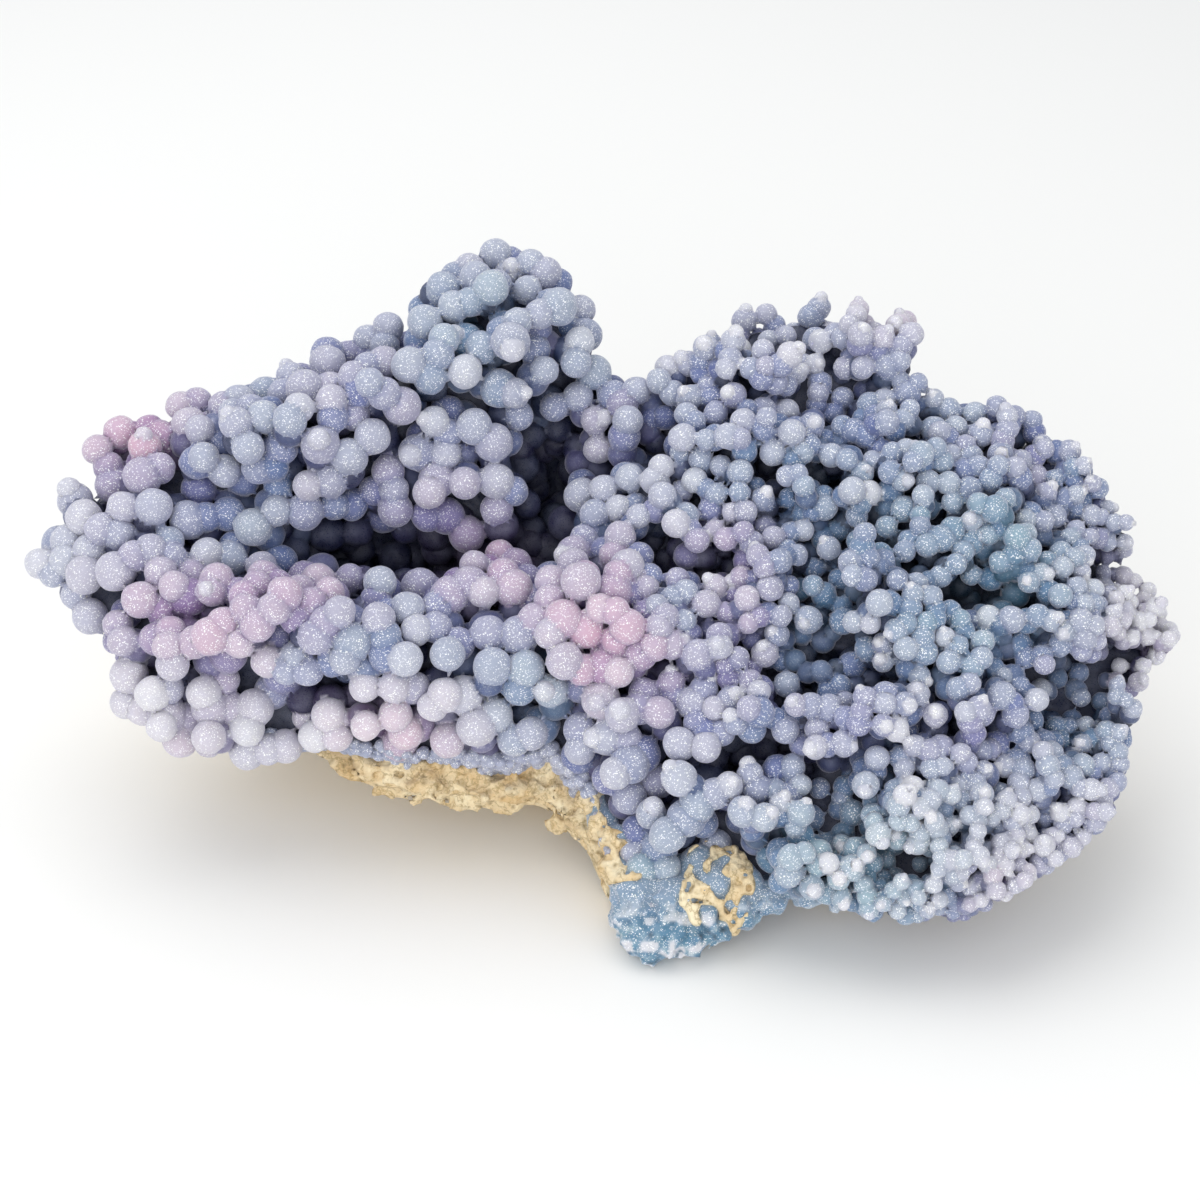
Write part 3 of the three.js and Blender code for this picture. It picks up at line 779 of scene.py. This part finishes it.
def paint_vertices(piece, tints):
    """Turns pink, teal, pale and tone into a colour: three steps of tone, each violet, pink and teal by share. On the
    berries the tone is painted shade and light, and lit places are painted paler.
    The fourth channel says how strong the painted glints are there: none where the tone is darkest."""
    pink, teal, pale, tone = (np.clip(tints[:, k:k + 1], 0, 1) for k in range(4))
    steps = []
    for shades in SHADE_AND_TONE_STEPS:
        violet_colour, pink_colour, teal_colour = (np.array(srgb(code)) for code in shades)
        steps.append((violet_colour * (1 - pink) + pink_colour * pink) * (1 - teal) + teal_colour * teal)
    # Painted shade and light: the tone picks the colour from the deep shade step through half shade to the lit step.
    deep, middle, top = steps
    colour = deep + (middle - deep) * smooth(0, 0.55, tone) + (top - middle) * smooth(0.45, 1, tone)
    colour += (np.array(srgb(PALE)) - colour) * pale * smooth(0.1, 0.7, tone)
    colour[:, 3] = smooth(0.15, 0.7, tone[:, 0])
    layer = piece.data.attributes.new("colour", "FLOAT_COLOR", "POINT")
    layer.data.foreach_set("color", colour.astype(np.float32).ravel())


def berry_skin(name, berries, tints, cell):
    """One closed skin round berries that overlap, with a sharp crease wherever two of them meet, and uneven by
    0.2 mm. A vertex has its berry's tint, with painted shade near a crease and painted light, partly the real paler
    frost, on the side away from the plate."""
    field, second, owner, low = berry_field(berries, cell)
    points, quads, cells = skin_of(field, low, cell)
    points, first = fit_to_berries(points, cells, owner, berries, low, cell)
    uneven = 0.13 * lattice_noise(points, 2.2, 98) + 0.06 * lattice_noise(points, 1.0, 99)
    points += uneven[:, None] * unit(points - berries[first, :3])
    piece = mesh_from(name, to_row_frame(points), quads)
    centre = points[quads].mean(1)
    gap = np.linalg.norm(centre[:, None] - berries[first[quads], :3], axis=2) - berries[first[quads], 3]
    face_owner = first[quads][np.arange(len(quads)), gap.argmin(1)]
    sharpen(piece.data, face_owner)
    crease = np.mean([second[tuple((cells + corner).T)].clip(-1, 1.6) for corner in CORNERS], axis=0)
    # Painted shade near a crease; painted light, with some real frost, on the side away from the plate.
    clear = smooth(-0.1, 1.3, crease)
    outer = smooth(-0.6, 0.9, (points[:, 2] - berries[first, 2]) / berries[first, 3])
    shades = tints[first]
    shades[:, 3] *= 0.60 + 0.16 * clear + 0.24 * outer
    paint_vertices(piece, shades)
    return piece, tints[face_owner, 3] < DEEP_TONE


def hand_over(piece, material, node):
    """Gives a finished piece its material, hangs it under the root body and hides the CAD part that it stands for."""
    piece.data.materials.clear()
    piece.data.materials.append(material)
    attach(piece, "root")
    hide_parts(node)
    print(piece.name, 2 * len(piece.data.polygons), "triangles")


# Berries painted this deep in shade get the shaded copy of the material, which has no sheen.
DEEP_TONE = 0.24         # berries of a lower tone than this have the shaded material


def make_berries(berries, material, shaded):
    """Each region's berries, tinted berry by berry with painted shade and light, those in deep painted shade in the
    shaded copy of the material, which has no sheen.
    """
    tints = berry_tints(berries, seed=3)
    berries, tints = add_caps(berries, tints, seed=4)
    for region, (name, (_, _, cell)) in enumerate(REGIONS.items()):
        chosen = berries[:, 4] == region
        piece, deep = berry_skin(name, berries[chosen], tints[chosen], cell)
        hand_over(piece, material, "agate_berries")
        piece.data.materials.append(shaded)
        piece.data.polygons.foreach_set("material_index", deep.astype(np.int32))


def make_fine_edge(material):
    """Fine-grained chalcedony along the crust's broken side: beads of about 1.4 mm on rows 1.1 mm apart."""
    draw = np.random.default_rng(12)
    rows = []
    for degrees in np.arange(-168, -78, 0.62):
        for drop in np.arange(-4.4, 1.3, 1.05):
            angle = math.radians(degrees + 0.5 * draw.standard_normal())
            reach = float(outline_reach(angle)) - FINE_INSET + 0.5 * draw.standard_normal()
            a = PLATE_CENTRE[0] + reach * math.cos(angle)
            b = PLATE_CENTRE[1] + reach * math.sin(angle)
            n = float(face_height(a, b)) + drop + 0.3 * draw.standard_normal()
            rows.append((a, b, n, 0.62 + 0.30 * draw.random()))
    beads = np.array(rows)
    patchy = lattice_noise(beads[:, :3], 5.0, 72)
    tints = np.stack([0.15 + 0.1 * patchy, 0.3 + 0 * patchy, 0.25 + 0.2 * patchy, 0.85 + 0 * patchy], 1)
    piece, _ = berry_skin("fine_grained_edge", beads, np.clip(tints, 0, 1), 0.34)
    hand_over(piece, material, "agate_berries")


# Lumps of the drusy foot and round bosses under the film: a, b, height over the crust's face, radius.
FOOT_LUMPS = [
    (4.6, 8.6, 0.4, 3.4), (8.6, 3.9, 0.2, 3.3), (6.6, 1.9, -0.4, 2.3), (11.6, 3.0, 0.0, 2.5), (9.4, 7.6, 1.0, 3.1),
    (2.6, 11.5, -0.3, 2.4), (14.8, 4.6, 0.0, 2.2), (18.0, 5.8, 0.2, 2.2), (21.6, 7.6, 0.2, 2.3), (25.5, 8.6, 0.2, 2.2),
    (29.5, 7.8, 0.2, 2.0), (33.5, 7.2, 0.0, 1.8), (13.0, 11.5, 0.0, 3.2), (17.0, 9.8, 0.0, 3.2), (7.6, 12.2, 0.0, 2.6),
    (0.4, 18.0, -0.6, 2.1), (-0.8, 20.6, -0.8, 1.8), (4.0, 5.4, 0.2, 2.6), (5.2, 3.2, 0.0, 2.7),
]
FILM_BOSSES = [
    (14.3, 9.3, 1.9, 2.7), (12.6, 12.6, 1.9, 1.6), (13.2, 5.7, 1.5, 1.7), (17.6, 6.8, 1.5, 1.7), (16.4, 12.0, 1.9, 1.5),
    (11.0, 8.4, 2.0, 1.5), (18.8, 9.6, 1.9, 1.6), (2.4, 15.4, 0.9, 1.9),
]
FILM_WINDOWS = [
    (14.2, 9.4, 2.1), (12.6, 12.8, 0.9), (13.1, 5.6, 1.0), (17.6, 6.6, 1.0), (16.6, 12.2, 0.8), (11.0, 8.2, 0.8),
    (3.2, 13.2, 0.8),
]
FOOT_CELL = 0.40
FOOT_LOW, FOOT_HIGH = (-5.0, -4.0, -7.0), (38.0, 24.0, 12.0)


def box_points(low, high, cell):
    """The points of a grid of this cell over a box in the plate's frame."""
    axes = [np.arange(low[k], high[k], cell) for k in range(3)]
    return np.stack(np.meshgrid(*axes, indexing="ij"), -1)


def lifted(lumps):
    """Lumps given by their height over the crust's face, with that height turned into n."""
    lumps = np.array(lumps)
    lumps[:, 2] += crust_face(lumps[:, 0], lumps[:, 1])
    return lumps


def joined(points, lumps, softness):
    """Distance outside lumps that run into each other, -k ln(sum of exp(-(|p - c| - r) / k))."""
    total = np.zeros(points.shape[:-1])
    for a, b, n, radius in lumps[:, :4]:
        total += np.exp(-(np.linalg.norm(points - (a, b, n), axis=-1) - radius) / softness)
    return -softness * np.log(total + 1e-12)


def under_floor(points):
    """How far each point lies below a level 0.3 mm over the floor."""
    return 0.3 - points @ np.array([ALONG_A[2], ALONG_B[2], ALONG_N[2]])


def skin_piece(name, field, low, cell, smooth_faces=True):
    """A piece from a field that is negative inside, closed at the sides of its grid."""
    for axis in range(3):
        np.moveaxis(field, axis, 0)[[0, -1]] = cell
    surface, quads, _ = skin_of(field, np.array(low), cell)
    return mesh_from(name, to_row_frame(surface), quads, smooth_faces), surface


def make_foot(material):
    """The drusy foot: lumps run together, broken into crystal faces by flat shading and a jitter of 0.2 mm."""
    points = box_points(FOOT_LOW, FOOT_HIGH, FOOT_CELL)
    lumps = np.concatenate([lifted(FOOT_LUMPS), lifted(FILM_BOSSES)])
    field = joined(points, lumps, 0.35)
    broken = smooth(11, 6, points[..., 1])
    field += broken * (0.45 * lattice_noise(points, 1.1, 91) + 0.9 * (cell_distance(points, 1.4, 92) - 0.5))
    field = np.maximum(field, under_floor(points))
    piece, surface = skin_piece("drusy_foot", field, FOOT_LOW, FOOT_CELL, smooth_faces=False)
    patchy = smooth(0.1, 0.4, lattice_noise(surface, 1.5, 93) + 0.5 * lattice_noise(surface, 0.6, 95))
    grainy = lattice_noise(surface, 0.9, 94)
    low = smooth(8, 3, surface[:, 1])
    tone = 0.50 + 0.45 * grainy * low + 0.55 * patchy * low + 0.25 * (1 - low)
    tints = np.stack([0.1 + 0 * patchy, 0.70 + 0.30 * low, 0.95 * patchy * low, tone], 1)
    paint_vertices(piece, tints)
    hand_over(piece, material, "agate_berries")


# The tan film over the foot: capsules that it covers, as two ends and a radius.
FILM_PARTS = [
    ((12.6, 12.0), (16.4, 11.6), 2.3), ((12.6, 6.0), (16.6, 5.8), 2.2), ((17.6, 7.6), (17.8, 10.4), 2.0),
    ((11.8, 7.4), (12.0, 10.8), 1.5), ((-1.6, 20.4), (1.2, 14.4), 1.9), ((1.2, 14.0), (3.0, 11.4), 2.5),
]
FILM_THICKNESS = 0.55
FILM_CELL = 0.34


def film_room(a, b):
    """How far inside the film a point lies: the greatest of its capsules less the windows, made ragged."""
    ragged = 1.2 * lattice_noise(np.stack([a, b, 0 * a], -1), 1.7, 81)
    room = np.full(a.shape, -9.0)
    for (a0, b0), (a1, b1), radius in FILM_PARTS:
        length = (a1 - a0) ** 2 + (b1 - b0) ** 2
        share = np.clip(((a - a0) * (a1 - a0) + (b - b0) * (b1 - b0)) / length, 0, 1)
        room = np.maximum(room, radius - np.hypot(a - a0 - share * (a1 - a0), b - b0 - share * (b1 - b0)))
    for window_a, window_b, radius in FILM_WINDOWS:
        room = np.minimum(room, np.hypot(a - window_a, b - window_b) - radius)
    return room + ragged


def make_film(material):
    """A film of host rock left on the foot: its skin let out by FILM_THICKNESS, pitted, where the film has room."""
    low, high = (-5.0, 1.0, -6.0), (23.0, 24.0, 10.0)
    points = box_points(low, high, FILM_CELL)
    lumps = np.concatenate([lifted(FOOT_LUMPS), lifted(FILM_BOSSES)])
    pits = 0.75 * (1 - smooth(0.2, 0.6, cell_distance(points, 1.2, 83)))
    grain = 0.35 * lattice_noise(points, 1.0, 82) + pits
    a, b, n = np.moveaxis(points, -1, 0)
    skin = joined(points, lumps, 0.35)
    field = np.max([skin - FILM_THICKNESS + grain, -0.8 - skin, -film_room(a, b), crust_face(a, b) - 1.5 - n], axis=0)
    piece, _ = skin_piece("rock_film", field, low, FILM_CELL)
    hand_over(piece, material, "host_rock")


LEDGE_CELL = 0.45
LEDGE_LOW, LEDGE_HIGH = (-46.0, 3.0, -15.0), (9.0, 38.0, 6.0)


def make_ledge(material):
    """The rock's broken edge in front of the crust: a slab 5 mm thick, ragged in plan, with pits and holes."""
    points = box_points(LEDGE_LOW, LEDGE_HIGH, LEDGE_CELL)
    a, b, n = np.moveaxis(points, -1, 0)
    face = face_height(a[..., :1], b[..., :1])
    degrees = np.degrees(angle_of(a[..., :1], b[..., :1]))
    held = smooth(-156, -145, degrees) * (1 - smooth(-88, -80, degrees))
    room = edge_room(a[..., :1], b[..., :1]) - 1.2 - 7.5 * (1 - held)
    ragged = 1.9 * lattice_noise(points, 4.5, 56) + 0.9 * lattice_noise(points, 1.9, 57)
    top = n - face + 2.5 + 1.3 * lattice_noise(points, 6.0, 58)
    bottom = face - 8.1 - n
    pits = 1.5 * (1 - smooth(0.15, 0.62, cell_distance(points, 2.6, 59)))
    small_pits = 0.7 * (1 - smooth(0.2, 0.6, cell_distance(points, 1.25, 60))) + 0.3 * lattice_noise(points, 1.0, 61)
    field = np.max([top, bottom + 0 * top, 0 * top - room, 0 * top + room - 11], axis=0)
    field = np.maximum(field + ragged + pits + small_pits - 0.6, under_floor(points))
    piece, _ = skin_piece("rock_ledge", field, LEDGE_LOW, LEDGE_CELL)
    hand_over(piece, material, "host_rock")


CRUST_INSET = 4.0
FINE_INSET = 6.6
CRUST_THICKNESS = 4.4
CRUST_SEAT = 3.5        # how much deeper its underside reaches where it sits in the host rock
CRUST_STEPS = 480
CRUST_RINGS = 34
CRUST_SIDE = 7          # rings down its side


def crust_rings():
    """The crust: rings round the plate's centre, out over the face, down the side and back underneath. The face
    carries small round swellings, |sin sin| on a grid of 2 mm, the side is beaded by 1 mm, and the underside
    goes down into the host rock and no lower than 0.4 mm over the floor."""
    angle = np.linspace(0, TURN, CRUST_STEPS, endpoint=False)
    reach = outline_reach(np.arctan2(np.sin(angle), np.cos(angle)))
    bare = bareness(PLATE_CENTRE[0] + np.cos(angle), PLATE_CENTRE[1] + np.sin(angle))
    reach = reach - CRUST_INSET - 3.0 * bare
    inward = np.concatenate([np.linspace(1, 0.9, 5), np.linspace(0.85, 0.01, 6)])
    out = np.concatenate([np.linspace(0.01, 1, CRUST_RINGS), np.ones(CRUST_SIDE), inward])
    under = np.concatenate([np.zeros(CRUST_RINGS), np.linspace(0, 1, CRUST_SIDE + 2)[1:-1], np.ones(len(inward))])
    sunk = CRUST_SEAT * np.concatenate([np.zeros(CRUST_RINGS + CRUST_SIDE), smooth(0, 0.08, 1 - inward)])
    a = PLATE_CENTRE[0] + np.outer(out, np.cos(angle) * reach)
    b = PLATE_CENTRE[1] + np.outer(out, np.sin(angle) * reach)
    swelling = np.abs(np.sin(a * 1.6 + 0.7 * np.sin(b * 1.3)) * np.sin(b * 1.7 + 0.6 * np.sin(a * 1.2)))
    n = crust_face(a, b) - CRUST_THICKNESS * under[:, None] + (1 - under[:, None]) * (0.5 * swelling - 0.3)
    points = np.stack([a, b, n - sunk[:, None]], -1)
    side = (smooth(0.86, 0.97, out) * (under > 0))[:, None]
    beaded = 0.9 - 1.1 * cell_distance(points, 2.4, 96)
    rough = side * (0.9 * lattice_noise(points, 3.0, 97) + beaded - 0.7)
    points[..., 0] += rough * np.cos(angle)
    points[..., 1] += rough * np.sin(angle)
    points[..., 2] -= 0.6 * side * beaded
    points[..., 2] = np.maximum(points[..., 2], (0.4 - points[..., 1] * ALONG_B[2]) / ALONG_N[2])
    points = points.reshape(-1, 3)
    rings = len(out)
    i, j = np.meshgrid(np.arange(rings - 1), np.arange(CRUST_STEPS), indexing="ij")
    k = (j + 1) % CRUST_STEPS
    quads = np.stack([i * CRUST_STEPS + j, (i + 1) * CRUST_STEPS + j, (i + 1) * CRUST_STEPS + k, i * CRUST_STEPS + k], -1)
    quads = quads.reshape(-1, 4)
    ends = np.stack([points[:CRUST_STEPS].mean(0), points[-CRUST_STEPS:].mean(0)])
    first, last = len(points), len(points) + 1
    step = np.arange(CRUST_STEPS)
    after = (step + 1) % CRUST_STEPS
    top = np.stack([np.full(CRUST_STEPS, first), step, after, after], 1)
    base = (rings - 1) * CRUST_STEPS
    bottom = np.stack([np.full(CRUST_STEPS, last), base + after, base + step, base + step], 1)
    faces = np.concatenate([quads, top[:, :4], bottom[:, :4]])
    return np.concatenate([points, ends]), faces


ROCK_VOXEL = 0.0010


def rock_shape(points, normals):
    """The broken rock: lumps of 9 and 4 mm and round pits, moved along the surface's own direction, and nothing
    near the flat spot that it rests on. Under a hollow the top is let down, so that the crust covers it."""
    lumps = 2.2 * lattice_noise(points, 13.0, 50) + 1.7 * lattice_noise(points, 7.0, 51)
    lumps += 0.9 * lattice_noise(points, 3.2, 52)
    ledges = 1.2 * np.abs(lattice_noise(points * (1, 1, 2.5), 6.0, 53))
    pits = 0.9 * (1 - smooth(0.2, 0.62, cell_distance(points, 2.6, 54)))
    small_pits = 0.4 * (1 - smooth(0.2, 0.6, cell_distance(points, 1.5, 55)))
    a, b, n = ((points - PLATE_ORIGIN) @ way for way in (ALONG_A, ALONG_B, ALONG_N))
    under_crust = smooth(-6.5, -4.2, n - face_height(a, b))
    free = smooth(0.2, 3.0, points[:, 2:3]) * (1 - 0.95 * under_crust[:, None])
    moved = points + free * normals * (lumps - ledges - pits - small_pits - 0.6)[:, None]
    from_origin = moved - PLATE_ORIGIN
    a, b, n = (from_origin @ way for way in (ALONG_A, ALONG_B, ALONG_N))
    degrees = np.degrees(angle_of(a, b))
    shown = smooth(-166, -154, degrees) * (1 - smooth(-84, -66, degrees))
    under = 6.0 * shown * smooth(-3, -6, n - face_height(a, b)) * free[:, 0]
    away = unit(np.stack([a - PLATE_CENTRE[0], b - PLATE_CENTRE[1]], 1))
    moved = moved - under[:, None] * (away[:, :1] * ALONG_A + away[:, 1:] * ALONG_B)
    moved = moved + 3.5 * bell(a, b, -1, 82, 10, 12)[:, None] * ALONG_B
    top = smooth(-9.0, -5.0, n - face_height(a, b))
    moved = moved - (top * (HOLLOW_DEPTH + 0.5) * hollowness(a, b))[:, None] * ALONG_N
    return np.maximum(moved, (-np.inf, -np.inf, 0.0))


def make_rock(material):
    """The host rock: the CAD solid's surface made into even quads, then broken up."""
    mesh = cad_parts["host_rock"].data.copy()
    piece = bpy.data.objects.new("host_rock_broken", mesh)
    bpy.context.scene.collection.objects.link(piece)
    weld = piece.modifiers.new("weld", "WELD")
    weld.merge_threshold = 0.00001
    even = piece.modifiers.new("even", "REMESH")
    even.mode = "VOXEL"
    even.voxel_size = ROCK_VOXEL
    piece.data = bpy.data.meshes.new_from_object(piece.evaluated_get(bpy.context.evaluated_depsgraph_get()))
    piece.modifiers.clear()
    count = len(piece.data.vertices)
    points, normals = np.empty(count * 3), np.empty(count * 3, np.float32)
    piece.data.vertices.foreach_get("co", points)
    piece.data.vertex_normals.foreach_get("vector", normals)
    moved = rock_shape(points.reshape(-1, 3) / METRE, normals.reshape(-1, 3)) * METRE
    piece.data.vertices.foreach_set("co", moved.ravel())
    piece.data.polygons.foreach_set("use_smooth", np.ones(len(piece.data.polygons), bool))
    piece.data.update()
    hand_over(piece, material, "host_rock")


PAPER = "#F4F3F0"


def studio():
    """A pale floor, a large soft light above, weaker ones from the left and low in front, and a pale sky."""
    floor_mesh = bpy.data.meshes.new("floor")
    half = 3.0
    floor_mesh.from_pydata([(-half, -half, 0), (half, -half, 0), (half, half, 0), (-half, half, 0)], [], [(0, 1, 2, 3)])
    floor = bpy.data.objects.new("floor", floor_mesh)
    bpy.context.scene.collection.objects.link(floor)
    material, tree = new_material("pale_floor")
    shader = add(tree, "ShaderNodeBsdfPrincipled", {"Base Color": srgb(PAPER), "Roughness": 0.6})
    add(tree, "ShaderNodeOutputMaterial", Surface=shader.outputs[0])
    floor.data.materials.append(material)
    for name, place, size, power in (
        ("key", (-0.12, 0.16, 0.55), 0.55, 1.5),
        ("fill", (-0.25, -0.52, 0.40), 0.60, 1.2),
        ("low_front", (0.05, -0.60, 0.10), 0.50, 1.4),
    ):
        light = bpy.data.lights.new(name, "AREA")
        light.size = size
        light.energy = power
        lamp = bpy.data.objects.new(name, light)
        lamp.location = place
        lamp.rotation_euler = (Vector((0, 0, 0.03)) - Vector(place)).to_track_quat("-Z", "Y").to_euler()
        bpy.context.scene.collection.objects.link(lamp)
    world = bpy.data.worlds.new("studio")
    world.use_nodes = True
    world.node_tree.nodes["Background"].inputs["Color"].default_value = srgb("#EDF0F4")
    world.node_tree.nodes["Background"].inputs["Strength"].default_value = 0.78
    bpy.context.scene.world = world
    bpy.context.scene.view_settings.view_transform = "Standard"


CAMERA_AIM = np.array([-0.51, 0.67, 30.0])
CAMERA_ELEVATION = math.radians(35)
CAMERA_DISTANCE = 290.0
CAMERA_HALF_WIDTH = 79.5      # of what the frame takes in, at the aim


def camera():
    """Looks along +Y and down at 35 degrees, as the photograph does."""
    data = bpy.data.cameras.new("view")
    data.sensor_width = 36.0
    data.lens = 18.0 * CAMERA_DISTANCE / CAMERA_HALF_WIDTH
    data.clip_start = 0.01
    eye = bpy.data.objects.new("view", data)
    away = np.array([0.0, -math.cos(CAMERA_ELEVATION), math.sin(CAMERA_ELEVATION)])
    eye.location = (CAMERA_AIM + CAMERA_DISTANCE * away) * METRE
    eye.rotation_euler = (math.pi / 2 - CAMERA_ELEVATION, 0, 0)
    bpy.context.scene.collection.objects.link(eye)
    bpy.context.scene.camera = eye


def main():
    camera()
    studio()
    agate = chalcedony("drusy_chalcedony", 0.70)
    # A copy without sheen, for berries in deep painted shade and the crust's painted dark face.
    deep_agate = chalcedony("shaded_chalcedony", 0.0)
    rock = host_rock()
    plate = PlateMap()
    berries = Growth(plate, seed=5).grow()
    print(len(berries), "berries")
    make_berries(berries, agate, deep_agate)
    points, faces = crust_rings()
    crust = bpy.data.meshes.new("crust")
    crust.from_pydata((to_row_frame(points) * METRE).tolist(), [], [tuple(dict.fromkeys(f)) for f in faces.tolist()])
    crust.polygons.foreach_set("use_smooth", np.ones(len(crust.polygons), bool))
    crust_piece = bpy.data.objects.new("crust", crust)
    bpy.context.scene.collection.objects.link(crust_piece)
    # The crust's face, seen only down between the berries, is painted in the darkest step of painted shade; its
    # underside is painted lighter.
    deep = points[:, 2] < crust_face(points[:, 0], points[:, 1]) - 1.0
    paint_vertices(crust_piece, np.stack([0.1 + 0 * deep, 0.2 + 0 * deep, 0.3 * deep, 0.65 * deep], 1))
    hand_over(crust_piece, deep_agate, "agate_berries")
    make_fine_edge(agate)
    make_foot(agate)
    make_rock(rock)
    make_ledge(rock)
    make_film(rock)


main()
